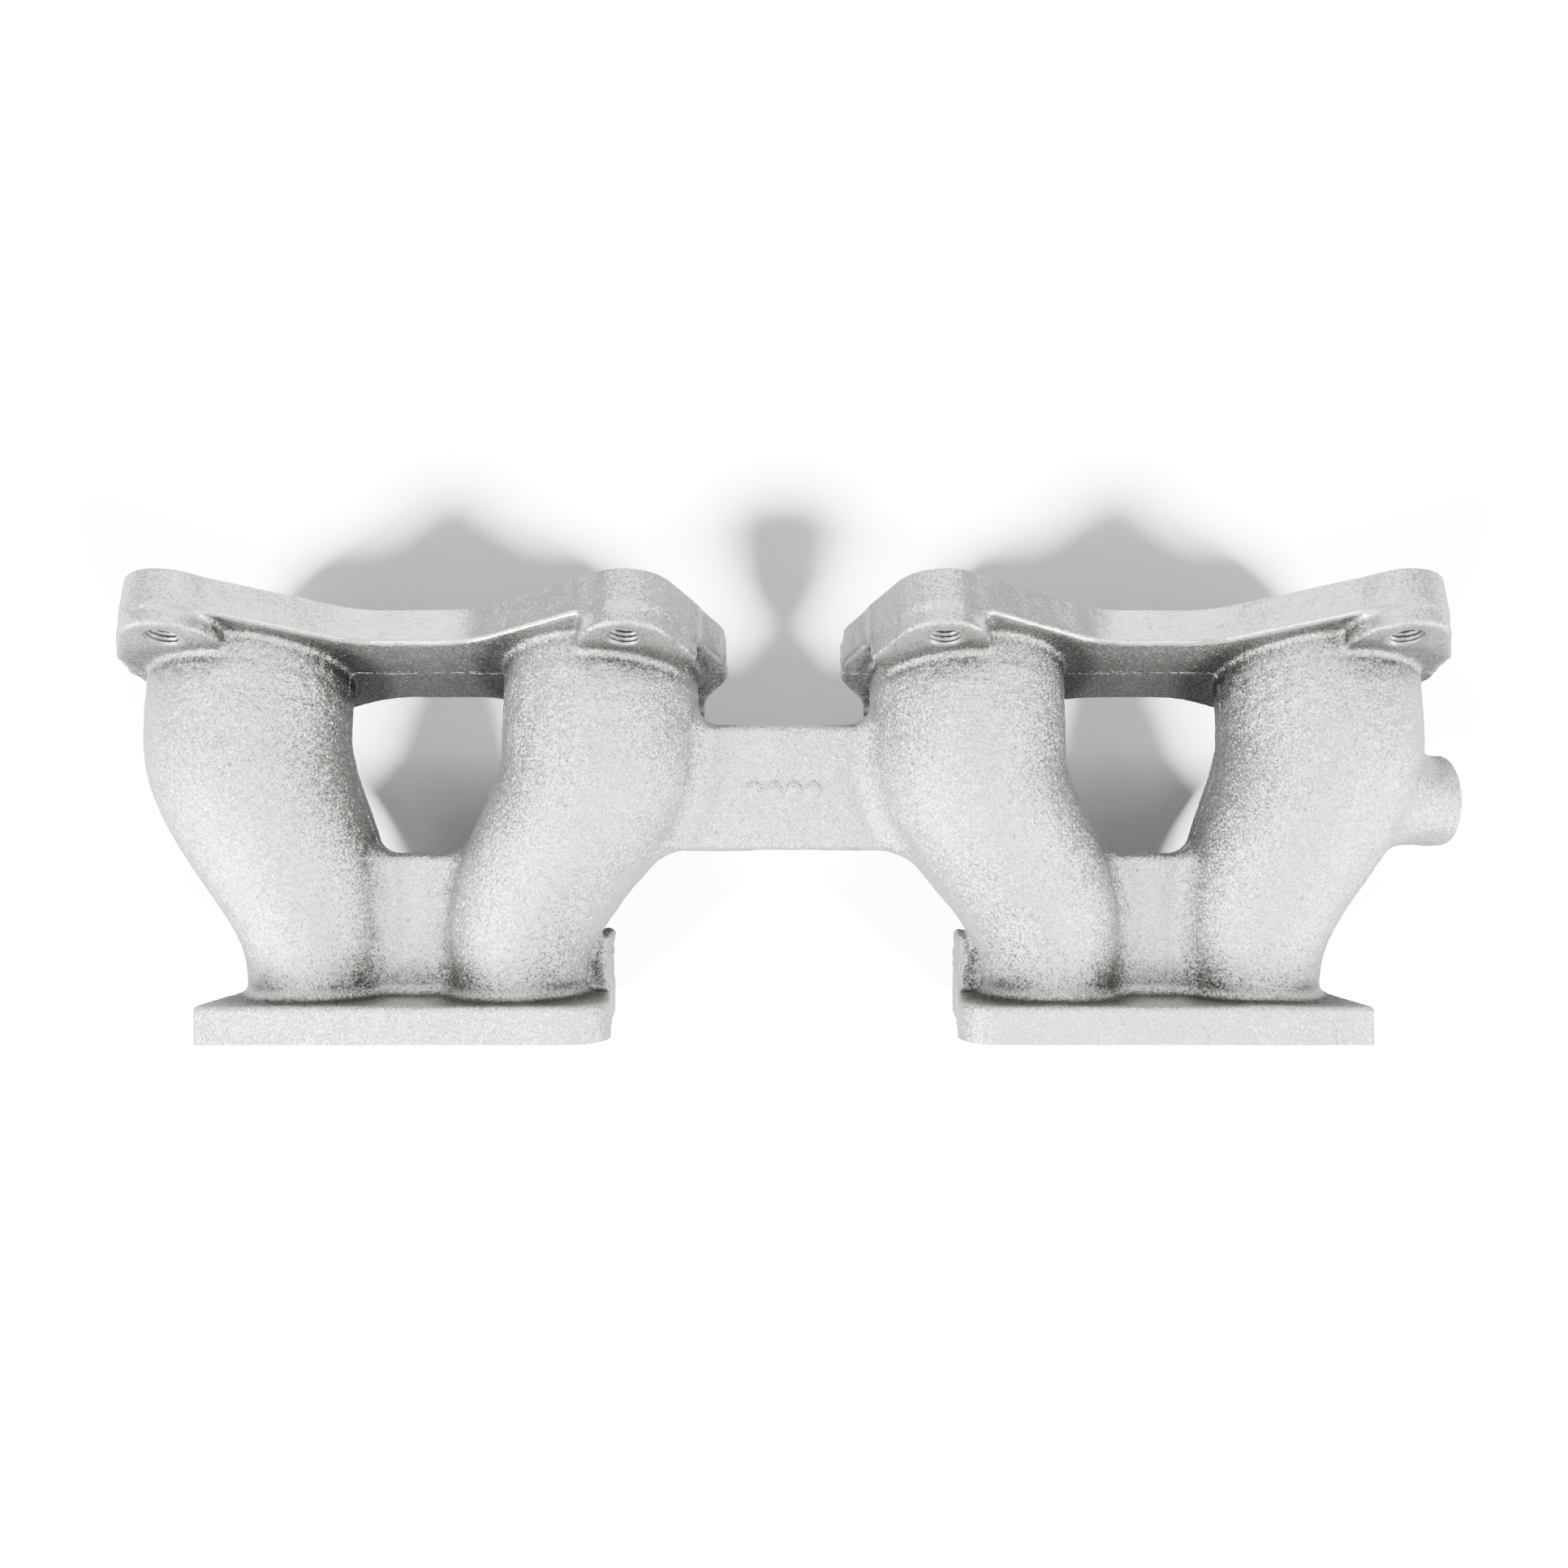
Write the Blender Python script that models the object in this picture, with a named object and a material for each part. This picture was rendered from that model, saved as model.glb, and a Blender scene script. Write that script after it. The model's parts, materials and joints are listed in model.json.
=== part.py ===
"""Bare cast intake manifold for two twin-choke side-draught carburettors on a four-cylinder engine.

Two tilted carburettor flanges feed two upright head flanges through four S-shaped runners. Every feature of the casting
is its own solid, with a small gap to the features it would flow into.

Frame: origin at the bottom centre of the bounding box, +X along the engine, +Y from the head face towards the
carburettors, +Z up. Lengths are in metres.
"""

import math

import bmesh
import bpy
from mathutils import Vector

# Fit between neighbouring features.
GAP = 0.0003

# Carburettor flanges.
PAIR_SPACING = 0.184  # between the middles of the two carburettor flanges
BORE_PITCH = 0.090  # between the two bores of one carburettor
CARB_BORE_RADIUS = 0.0205
CARB_FLANGE_THICKNESS = 0.0092
EAR_THICKNESS = 0.0142  # flange plate, gap and ear pad together
FACE_TILT = math.radians(19.5)  # lean of the carburettor face from upright, top edge outwards
STUD_PITCH_ALONG = 0.1084
STUD_PITCH_ACROSS = 0.062
STUD_HOLE_RADIUS = 0.0034  # tapping size for M8
EAR_RADIUS = 0.0114
EAR_REACH_ALONG = 0.0051  # sharp ear corner beyond the stud hole, along the flange
EAR_REACH_ACROSS = 0.0114  # sharp ear corner beyond the stud hole, across the flange
WAIST_HALF_LENGTH = 0.014
WAIST_HALF_WIDTH = 0.017
WAIST_RADIUS = 0.027
END_REACH = 0.0228  # end of the flange beyond the stud holes
END_HALF_WIDTH = 0.0062
END_RADIUS = 0.015
PAD_RADIUS = 0.015
PAD_OUTBOARD = 0.0033  # middle of an ear pad beyond its stud hole, along the flange
PAD_INWARD = 0.006  # middle of an ear pad inside its stud hole, across the flange

# Head flanges.
HEAD_TO_BORE = 0.1001  # head face to the middle of the carburettor face, along Y
PORT_PITCH = 0.0517  # between the two ports of one head flange
PORT_OUTBOARD = 0.00165  # shift of a port pair away from the mid-plane
PORT_RISE = 0.003  # port centres above the middle of the carburettor face
PORT_RADIUS = 0.014
HEAD_FLANGE_THICKNESS = 0.0093
HEAD_FLANGE_HALF_LENGTH = 0.0506
HEAD_FLANGE_TOP = 0.025  # top edge above the port centres
TOP_OUTER_RADIUS = 0.0025
TOP_INNER_RADIUS = 0.011
LOWER_RADIUS = 0.010
HEAD_FLANGE_LEAN = 0.0088  # each end comes in by this much from the top edge to the lower edge
HEAD_HOLE_RADIUS = 0.00425  # clearance for M8
HEAD_HOLE_INSET = 0.0105  # hole centres in from the sharp lower corners and up from the lower edge

# Runners.
RUNNER_WALL_AT_CARB = 0.0043
RUNNER_WALL_AT_HEAD = 0.0035
BEND_FROM_HEAD = 0.0166  # S-bend starts this far from the head face
OUTER_BEND_FROM_CARB = 0.0245  # S-bend of an outer runner ends this far from the carburettor face
INNER_BEND_FROM_CARB = 0.0295
TAPER_FROM_HEAD = 0.0076
TAPER_FROM_CARB = 0.0275

# Webs, lugs and stub.
WEB_THICKNESS = 0.009
WEB_RISE = 0.005  # web mid-plane above the middle of the carburettor face
BRIDGE_FROM_HEAD = 0.0457
BRIDGE_FROM_CARB = 0.0225  # far edge of the bridge web from the middle of the carburettor face
RUNNER_WEB_TOP_FROM_HEAD = 0.0447
LUG_TOP_FROM_HEAD = 0.0236
LUG_RISE = 0.0006  # lug top above the port centres
LUG_HEIGHT = 0.0175
LUG_INSET = 0.0042  # inner side of the lug from the top end of the head flange
LUG_LENGTH = 0.0124  # along X, before the runner cuts into it
STUB_RADIUS = 0.0114
STUB_ROOT_RADIUS = 0.0130
STUB_REACH = 0.0315  # end of the stub beyond the outermost bore's centre line
STUB_FROM_HEAD = 0.0583
STUB_HOLE_RADIUS = 0.0058
STUB_HOLE_DEPTH = 0.013

# Facets of round shapes.
RUNNER_FACETS = 24
RUNNER_STATIONS = 12
BORE_FACETS = 28
HOLE_FACETS = 16

# Sizes that follow from the ones above.
STUD_U = STUD_PITCH_ALONG / 2
STUD_V = STUD_PITCH_ACROSS / 2
EAR_CORNER_U = STUD_U + EAR_REACH_ALONG
EAR_CORNER_V = STUD_V + EAR_REACH_ACROSS
END_U = STUD_U + END_REACH
WAIST_SLOPE = math.atan2(EAR_CORNER_V - WAIST_HALF_WIDTH, EAR_CORNER_U - WAIST_HALF_LENGTH)
END_SLOPE = math.atan2(EAR_CORNER_V - END_HALF_WIDTH, END_U - EAR_CORNER_U)
EAR_TURN = math.pi - WAIST_SLOPE - END_SLOPE
# Middle of the ear's round corner, and so the widest point of the flange.
EAR_MIDDLE_IN = EAR_RADIUS / math.sin(EAR_TURN / 2)
EAR_BISECTOR = (WAIST_SLOPE - END_SLOPE) / 2 + math.pi / 2
EAR_MIDDLE_V = EAR_CORNER_V - EAR_MIDDLE_IN * math.sin(EAR_BISECTOR)
FLANGE_HALF_WIDTH = EAR_MIDDLE_V + EAR_RADIUS

# The part rests on the lower edges of its carburettor flanges and head flanges.
BORE_Z = FLANGE_HALF_WIDTH * math.cos(FACE_TILT)
PORT_Z = BORE_Z + PORT_RISE
WEB_Z = BORE_Z + WEB_RISE
DEPTH = HEAD_TO_BORE + FLANGE_HALF_WIDTH * math.sin(FACE_TILT)
HEAD_Y = -DEPTH / 2
BORE_Y = HEAD_Y + HEAD_TO_BORE
LEFT_REACH = PAIR_SPACING / 2 + END_U
RIGHT_REACH = PAIR_SPACING / 2 + max(END_U, BORE_PITCH / 2 + STUB_REACH)
MIDDLE_X = (LEFT_REACH - RIGHT_REACH) / 2

FACE_OUTWARD = Vector((0, math.cos(FACE_TILT), -math.sin(FACE_TILT)))
PORT_OUTER = PORT_OUTBOARD + PORT_PITCH / 2
PORT_INNER = PORT_OUTBOARD - PORT_PITCH / 2
RUNNER_CARB_RADIUS = CARB_BORE_RADIUS + RUNNER_WALL_AT_CARB
RUNNER_HEAD_RADIUS = PORT_RADIUS + RUNNER_WALL_AT_HEAD


def clear_scene():
    for item in list(bpy.data.objects):
        bpy.data.objects.remove(item, do_unlink=True)


def aluminium(name, shade, roughness):
    """A bare aluminium surface: shade is its grey, roughness its finish."""
    made = bpy.data.materials.new(name)
    made.use_nodes = True
    shader = made.node_tree.nodes["Principled BSDF"]
    shader.inputs["Base Color"].default_value = (shade, shade, shade * 0.99, 1)
    shader.inputs["Metallic"].default_value = 1.0
    shader.inputs["Roughness"].default_value = roughness
    made.diffuse_color = (shade, shade, shade * 0.99, 1)
    return made


def add_object(name, mesh_data, material, location=(0, 0, 0), tilt=0.0):
    made = bpy.data.objects.new(name, mesh_data)
    bpy.context.scene.collection.objects.link(made)
    made.location = location
    made.rotation_euler = (tilt, 0, 0)
    if material:
        mesh_data.materials.append(material)
    return made


def finish_mesh(name, bm, smooth_angle=30.0):
    """Turn a bmesh into mesh data with faces pointing out and round walls shaded smooth."""
    bmesh.ops.recalc_face_normals(bm, faces=bm.faces)
    for face in bm.faces:
        face.smooth = True
    for edge in bm.edges:
        if len(edge.link_faces) == 2 and edge.calc_face_angle() > math.radians(smooth_angle):
            edge.smooth = False
    data = bpy.data.meshes.new(name)
    bm.to_mesh(data)
    bm.free()
    return data


def round_corner(before, corner, after, radius, steps):
    """Points of an arc of this radius that touches both sides of a polygon's corner."""
    to_before = (before - corner).normalized()
    to_after = (after - corner).normalized()
    angle = to_before.angle(to_after)
    reach = radius / math.tan(angle / 2)
    start = corner + to_before * reach
    end = corner + to_after * reach
    centre = corner + (to_before + to_after).normalized() * (radius / math.sin(angle / 2))
    points = []
    for step in range(steps + 1):
        mix = start.lerp(end, step / steps) - centre
        points.append(centre + slerp_to(start - centre, end - centre, step / steps, mix))
    return points


def slerp_to(first, last, share, fallback):
    """The vector a share of the way round an arc from first to last."""
    angle = first.angle(last)
    if angle < 1e-6:
        return fallback
    head = math.sin((1 - share) * angle) / math.sin(angle)
    tail = math.sin(share * angle) / math.sin(angle)
    return first * head + last * tail


def rounded_outline(corners):
    """A closed outline from (x, y, radius, steps) corners."""
    points = []
    count = len(corners)
    for index, (x, y, radius, steps) in enumerate(corners):
        here = Vector((x, y))
        before = Vector(corners[index - 1][:2])
        after = Vector(corners[(index + 1) % count][:2])
        points.extend(round_corner(before, here, after, radius, steps))
    return points


def circle(x, y, radius, facets):
    """Points of a facetted circle."""
    points = []
    for step in range(facets):
        angle = 2 * math.pi * (step + 0.5) / facets
        points.append(Vector((x + radius * math.cos(angle), y + radius * math.sin(angle))))
    return points


def plate_mesh(name, outline, holes, low, high):
    """A flat plate between two heights, with this outline and these holes."""
    bm = bmesh.new()
    edges = []
    for loop in [outline] + holes:
        verts = [bm.verts.new((point.x, point.y, low)) for point in loop]
        for index, vert in enumerate(verts):
            edges.append(bm.edges.new((verts[index - 1], vert)))
    bmesh.ops.triangle_fill(bm, use_beauty=True, use_dissolve=False, edges=edges)
    bottom = list(bm.faces)
    raised = bmesh.ops.extrude_face_region(bm, geom=bottom)
    top = [item for item in raised["geom"] if isinstance(item, bmesh.types.BMVert)]
    bmesh.ops.translate(bm, verts=top, vec=(0, 0, high - low))
    return finish_mesh(name, bm)


def ring_mesh(name, outer_rings, inner_rings=None):
    """A closed solid through matching rings: a tube with inner rings, else a solid bar."""
    bm = bmesh.new()
    outer = [[bm.verts.new(point) for point in ring] for ring in outer_rings]
    inner = [[bm.verts.new(point) for point in ring] for ring in inner_rings or []]
    for rings in (outer, inner):
        for first, second in zip(rings, rings[1:]):
            join_rings(bm, first, second)
    if inner:
        join_rings(bm, outer[0], inner[0])
        join_rings(bm, outer[-1], inner[-1])
    else:
        bm.faces.new(outer[0])
        bm.faces.new(outer[-1])
    return finish_mesh(name, bm)


def join_rings(bm, first, second):
    for index in range(len(first)):
        bm.faces.new((first[index - 1], first[index], second[index], second[index - 1]))


def cut(target, tool, operation="DIFFERENCE"):
    """Boolean the target with a hidden tool object."""
    modifier = target.modifiers.new(operation.lower() + "_" + tool.name, "BOOLEAN")
    modifier.object = tool
    modifier.operation = operation
    modifier.solver = "EXACT"
    tool.hide_render = True
    tool.display_type = "WIRE"


def smoothstep(low, high, value):
    share = min(max((value - low) / (high - low), 0), 1)
    return share * share * (3 - 2 * share)


class Runner:
    """The path and size of one runner. side is -1 left or +1 right of the mid-plane; outer is the outboard one."""

    def __init__(self, side, outer):
        pair = MIDDLE_X + side * PAIR_SPACING / 2
        self.carb_x = pair + side * (BORE_PITCH / 2 if outer else -BORE_PITCH / 2)
        self.head_x = pair + side * (PORT_OUTER if outer else PORT_INNER)
        self.bend_end = OUTER_BEND_FROM_CARB if outer else INNER_BEND_FROM_CARB

    def middle(self, share):
        """The centre line, from the carburettor face at 0 to the head face at 1."""
        y = BORE_Y - HEAD_TO_BORE * share
        bend = smoothstep(HEAD_Y + BEND_FROM_HEAD, BORE_Y - self.bend_end, y)
        x = self.head_x + (self.carb_x - self.head_x) * bend
        leave = share * (1 - share) ** 2 * HEAD_TO_BORE * math.tan(FACE_TILT)
        return Vector((x, y, BORE_Z + leave + PORT_RISE * smoothstep(0, 1, share)))

    def ring(self, share, radius):
        """One ring, square to the path in side view, and sheared to follow it in plan view."""
        step = 0.002
        ahead = self.middle(min(share + step, 1))
        behind = self.middle(max(share - step, 0))
        path = ahead - behind
        climb = math.atan2(path.z, -path.y)
        if share <= 0:
            climb = FACE_TILT
        up = Vector((0, math.sin(climb), math.cos(climb)))
        stretch = math.hypot(path.x, path.y) / abs(path.y)
        centre = self.middle(share)
        points = []
        for facet in range(RUNNER_FACETS):
            angle = 2 * math.pi * (facet + 0.5) / RUNNER_FACETS
            across = Vector((radius * stretch * math.cos(angle), 0, 0))
            points.append(centre + across + up * (radius * math.sin(angle)))
        return points

    def size(self, share, carb_radius, head_radius):
        y = BORE_Y - HEAD_TO_BORE * share
        mix = smoothstep(HEAD_Y + TAPER_FROM_HEAD, BORE_Y - TAPER_FROM_CARB, y)
        return head_radius + (carb_radius - head_radius) * mix

    def rings(self, carb_radius, head_radius):
        """Rings from the back of the carburettor flange to the head flange, the end rings flat against both."""
        first, last = flange_shares()
        made = []
        for step in range(RUNNER_STATIONS + 1):
            share = first + (last - first) * step / RUNNER_STATIONS
            made.append(self.ring(share, self.size(share, carb_radius, head_radius)))
        made[0] = lean_ring(made[0], self.middle(first))
        made[-1] = [Vector((p.x, self.middle(last).y, p.z)) for p in made[-1]]
        return made


def lean_ring(ring, centre):
    """Slide a ring's points along Y into the plane through its centre that is parallel to the carburettor face."""
    slope = FACE_OUTWARD.z / FACE_OUTWARD.y
    return [Vector((p.x, centre.y - slope * (p.z - centre.z), p.z)) for p in ring]


def flange_shares():
    """Where the runners start behind the carburettor flanges and stop at the head flanges, as shares of the path."""
    behind = CARB_FLANGE_THICKNESS + GAP
    first = behind * math.cos(FACE_TILT) / HEAD_TO_BORE
    last = 1 - (HEAD_FLANGE_THICKNESS + GAP) / HEAD_TO_BORE
    return first, last


def make_runner(name, side, outer, material):
    path = Runner(side, outer)
    outside = path.rings(RUNNER_CARB_RADIUS, RUNNER_HEAD_RADIUS)
    inside = path.rings(CARB_BORE_RADIUS, PORT_RADIUS)
    return add_object(name, ring_mesh(name, outside, inside), material)


def make_runner_cutter(name, side, outer):
    """A solid bar one gap larger than the runner and a little longer, for cutting what stands against it."""
    path = Runner(side, outer)
    rings = path.rings(RUNNER_CARB_RADIUS + GAP, RUNNER_HEAD_RADIUS + GAP)
    outwards = FACE_OUTWARD * CARB_FLANGE_THICKNESS
    towards_head = Vector((0, -HEAD_FLANGE_THICKNESS, 0))
    rings.insert(0, [point + outwards for point in rings[0]])
    rings.append([point + towards_head for point in rings[-1]])
    return add_object(name, ring_mesh(name, rings), None)


def carb_outline():
    """The carburettor flange: a waist between four rounded ears, and blunt ends."""
    quarter = [
        (WAIST_HALF_LENGTH, WAIST_HALF_WIDTH, WAIST_RADIUS, 4),
        (EAR_CORNER_U, EAR_CORNER_V, EAR_RADIUS, 8),
        (END_U, END_HALF_WIDTH, END_RADIUS, 3),
    ]
    corners = list(quarter)
    corners += [(x, -y, radius, steps) for x, y, radius, steps in reversed(quarter)]
    corners += [(-x, -y, radius, steps) for x, y, radius, steps in quarter]
    corners += [(-x, y, radius, steps) for x, y, radius, steps in reversed(quarter)]
    return rounded_outline(corners)


def make_carb_flange(side_name, side, material):
    """The flange plate. Its own +Z points into the part, and its gasket face is at its Z = 0."""
    holes = [circle(s * BORE_PITCH / 2, 0, CARB_BORE_RADIUS, BORE_FACETS) for s in (-1, 1)]
    for u in (-STUD_U, STUD_U):
        for v in (-STUD_V, STUD_V):
            holes.append(circle(u, v, STUD_HOLE_RADIUS, HOLE_FACETS))
    name = "carb_flange_" + side_name
    data = plate_mesh(name, carb_outline(), holes, 0, CARB_FLANGE_THICKNESS)
    place = (MIDDLE_X + side * PAIR_SPACING / 2, BORE_Y, BORE_Z)
    return add_object(name, data, material, place, math.pi / 2 - FACE_TILT)


def make_ear_pads(side_name, side, cutters, material):
    """The four thick pads behind the stud holes of one carburettor flange."""
    place = (MIDDLE_X + side * PAIR_SPACING / 2, BORE_Y, BORE_Z)
    tilt = math.pi / 2 - FACE_TILT
    low = CARB_FLANGE_THICKNESS + GAP
    for across, v_sign in (("upper", 1), ("lower", -1)):
        for along, u_sign in (("outer", side), ("inner", -side)):
            name = "ear_pad_" + side_name + "_" + across + "_" + along
            data = plate_mesh(name, carb_outline(), [], low, EAR_THICKNESS)
            pad = add_object(name, data, material, place, tilt)
            zone_u = u_sign * (STUD_U + PAD_OUTBOARD)
            zone_v = v_sign * (STUD_V - PAD_INWARD)
            zone_outline = circle(zone_u, zone_v, PAD_RADIUS, BORE_FACETS)
            zone_data = plate_mesh("zone_" + name, zone_outline, [], 0, 2 * EAR_THICKNESS)
            cut(pad, add_object("zone_" + name, zone_data, None, place, tilt), "INTERSECT")
            cut(pad, cutters[side, u_sign == side])
            hole = circle(u_sign * STUD_U, v_sign * STUD_V, STUD_HOLE_RADIUS, HOLE_FACETS)
            hole_data = plate_mesh("hole_" + name, hole, [], 0, 2 * EAR_THICKNESS)
            cut(pad, add_object("hole_" + name, hole_data, None, place, tilt))


def head_flange_edges():
    """Height of the flange's lower and top edges from the port centres."""
    return -PORT_Z, HEAD_FLANGE_TOP


def make_head_flange(side_name, side, material):
    """The head flange. Its own +Y is up and +Z is out of the head face, which is at its Z = 0."""
    low, high = head_flange_edges()
    half = HEAD_FLANGE_HALF_LENGTH
    foot = half - HEAD_FLANGE_LEAN
    top_right = TOP_OUTER_RADIUS if side > 0 else TOP_INNER_RADIUS
    top_left = TOP_INNER_RADIUS if side > 0 else TOP_OUTER_RADIUS
    outline = rounded_outline([
        (half, high, top_right, 5),
        (foot, low, LOWER_RADIUS, 5),
        (-foot, low, LOWER_RADIUS, 5),
        (-half, high, top_left, 5),
    ])
    ports = [side * PORT_OUTER, side * PORT_INNER]
    holes = [circle(x, 0, PORT_RADIUS, RUNNER_FACETS) for x in ports]
    hole_y = low + HEAD_HOLE_INSET
    for x in (-foot + HEAD_HOLE_INSET, sum(ports) / 2, foot - HEAD_HOLE_INSET):
        holes.append(circle(x, hole_y, HEAD_HOLE_RADIUS, HOLE_FACETS))
    name = "head_flange_" + side_name
    data = plate_mesh(name, outline, holes, -HEAD_FLANGE_THICKNESS, 0)
    place = (MIDDLE_X + side * PAIR_SPACING / 2, HEAD_Y, PORT_Z)
    return add_object(name, data, material, place, math.pi / 2)


def box_outline(x_low, x_high, y_low, y_high):
    return [Vector(p) for p in ((x_low, y_low), (x_high, y_low), (x_high, y_high), (x_low, y_high))]


def make_bridge_web(cutters, material):
    """The flat web between the two inner runners."""
    reach = (PAIR_SPACING - BORE_PITCH) / 2
    outline = box_outline(-reach, reach, HEAD_Y + BRIDGE_FROM_HEAD, BORE_Y - BRIDGE_FROM_CARB)
    data = plate_mesh("bridge_web", outline, [], -WEB_THICKNESS / 2, WEB_THICKNESS / 2)
    web = add_object("bridge_web", data, material, (MIDDLE_X, 0, WEB_Z))
    cut(web, cutters[-1, False])
    cut(web, cutters[1, False])


def make_runner_web(side_name, side, cutters, material):
    """The low web that joins the two runners of a pair near the head flange."""
    name = "runner_web_" + side_name
    low = HEAD_Y + HEAD_FLANGE_THICKNESS + GAP
    high = HEAD_Y + RUNNER_WEB_TOP_FROM_HEAD
    middle = side * PORT_OUTBOARD
    outline = box_outline(middle - PORT_PITCH / 2, middle + PORT_PITCH / 2, low, high)
    data = plate_mesh(name, outline, [], -WEB_THICKNESS / 2, WEB_THICKNESS / 2)
    web = add_object(name, data, material, (MIDDLE_X + side * PAIR_SPACING / 2, 0, WEB_Z))
    cut(web, cutters[side, True])
    cut(web, cutters[side, False])


def make_lug(side_name, side, cutters, material):
    """The rough lug behind the inner runner, near the inner end of the head flange."""
    name = "flange_lug_" + side_name
    inner_end = -side * (HEAD_FLANGE_HALF_LENGTH - LUG_INSET)
    low = HEAD_Y + HEAD_FLANGE_THICKNESS + GAP
    high = HEAD_Y + LUG_TOP_FROM_HEAD
    far = inner_end + side * LUG_LENGTH
    outline = box_outline(min(inner_end, far), max(inner_end, far), low, high)
    data = plate_mesh(name, outline, [], LUG_RISE - LUG_HEIGHT, LUG_RISE)
    lug = add_object(name, data, material, (MIDDLE_X + side * PAIR_SPACING / 2, 0, PORT_Z))
    cut(lug, cutters[side, False])


def make_stub(cutters, material):
    """The take-off stub on the flank of the outermost right runner, with a blind tapped hole."""
    axis_y = HEAD_Y + STUB_FROM_HEAD
    root_x = MIDDLE_X + PAIR_SPACING / 2 + BORE_PITCH / 2
    end_x = root_x + STUB_REACH
    sections = (
        (root_x, STUB_ROOT_RADIUS),
        (root_x + RUNNER_CARB_RADIUS, STUB_ROOT_RADIUS),
        (root_x + RUNNER_CARB_RADIUS + (STUB_ROOT_RADIUS - STUB_RADIUS), STUB_RADIUS),
        (end_x, STUB_RADIUS),
    )
    data = ring_mesh("takeoff_stub", [stub_ring(x, axis_y, radius) for x, radius in sections])
    stub = add_object("takeoff_stub", data, material)
    cut(stub, cutters[1, True])
    drill = [stub_ring(x, axis_y, STUB_HOLE_RADIUS) for x in (end_x - STUB_HOLE_DEPTH, end_x + STUB_HOLE_DEPTH)]
    cut(stub, add_object("hole_takeoff_stub", ring_mesh("hole_takeoff_stub", drill), None))


def stub_ring(x, axis_y, radius):
    points = circle(axis_y, WEB_Z, radius, RUNNER_FACETS)
    return [Vector((x, point.x, point.y)) for point in points]


def main():
    clear_scene()
    cutters = {}
    for side in (-1, 1):
        for outer in (False, True):
            name = "runner_cutter_" + ("left" if side < 0 else "right") + ("_outer" if outer else "_inner")
            cutters[side, outer] = make_runner_cutter(name, side, outer)
    number = 0
    for side, outer in ((-1, True), (-1, False), (1, False), (1, True)):
        number += 1
        name = "runner_" + str(number)
        make_runner(name, side, outer, aluminium(name + "_metal", 0.75, 0.42))
    for side_name, side in (("left", -1), ("right", 1)):
        make_carb_flange(side_name, side, aluminium("carb_flange_" + side_name + "_metal", 0.78, 0.38))
        make_ear_pads(side_name, side, cutters, aluminium("ear_pad_" + side_name + "_metal", 0.76, 0.40))
        make_head_flange(side_name, side, aluminium("head_flange_" + side_name + "_metal", 0.78, 0.38))
        make_runner_web(side_name, side, cutters, aluminium("runner_web_" + side_name + "_metal", 0.72, 0.48))
        make_lug(side_name, side, cutters, aluminium("flange_lug_" + side_name + "_metal", 0.68, 0.55))
    make_bridge_web(cutters, aluminium("bridge_web_metal", 0.72, 0.48))
    make_stub(cutters, aluminium("takeoff_stub_metal", 0.76, 0.42))


main()
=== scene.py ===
import json
import math

import bmesh
import bpy
import numpy as np
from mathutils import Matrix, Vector


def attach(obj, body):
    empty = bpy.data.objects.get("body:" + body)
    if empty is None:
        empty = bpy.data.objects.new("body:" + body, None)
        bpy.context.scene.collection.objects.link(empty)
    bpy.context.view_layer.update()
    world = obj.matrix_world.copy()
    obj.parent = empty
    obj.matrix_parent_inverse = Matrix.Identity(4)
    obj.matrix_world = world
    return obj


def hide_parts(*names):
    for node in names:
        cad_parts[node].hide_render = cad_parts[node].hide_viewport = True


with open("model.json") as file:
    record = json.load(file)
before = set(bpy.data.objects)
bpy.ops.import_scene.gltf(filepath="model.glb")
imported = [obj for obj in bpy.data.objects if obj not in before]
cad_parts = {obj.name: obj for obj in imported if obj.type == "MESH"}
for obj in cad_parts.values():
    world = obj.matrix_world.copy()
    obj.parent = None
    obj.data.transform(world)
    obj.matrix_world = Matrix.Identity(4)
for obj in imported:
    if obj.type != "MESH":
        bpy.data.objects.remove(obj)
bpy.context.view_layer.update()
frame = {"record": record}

# ---------------------------------------------------------------- sizes, in millimetres
MM = 0.001
VOXEL = 0.78
SEED = 11

FACE_TILT = math.radians(19.5)
SIN_TILT = math.sin(FACE_TILT)
COS_TILT = math.cos(FACE_TILT)
TAN_TILT = math.tan(FACE_TILT)

mounts = {m["name"]: m for m in frame["record"]["mounts"]}


def mount_mm(name):
    return np.array(mounts[name]["pos_m"]) / MM


PAIR_X, BORE_Y, BORE_Z = mount_mm("carb_face_right")
PORT_MIDDLE_X, HEAD_Y, PORT_Z = mount_mm("head_face_right")
STUB_END_X, STUB_Y, _ = mount_mm("takeoff_face")
REACH = BORE_Y - HEAD_Y  # head face to the middle of the carburettor face
WEB_Z = BORE_Z + 5.0

BORE_HALF = 45.0
PORT_HALF = 25.85
BORE_RADIUS = 20.5
PORT_RADIUS = 14.0
RUNNER_AT_CARB = 24.8
RUNNER_AT_HEAD = 17.5
BEND_FROM_HEAD = 16.6
OUTER_BEND = 24.5
INNER_BEND = 29.5
TAPER_FROM_HEAD = 7.6
TAPER_FROM_CARB = 27.5

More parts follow.
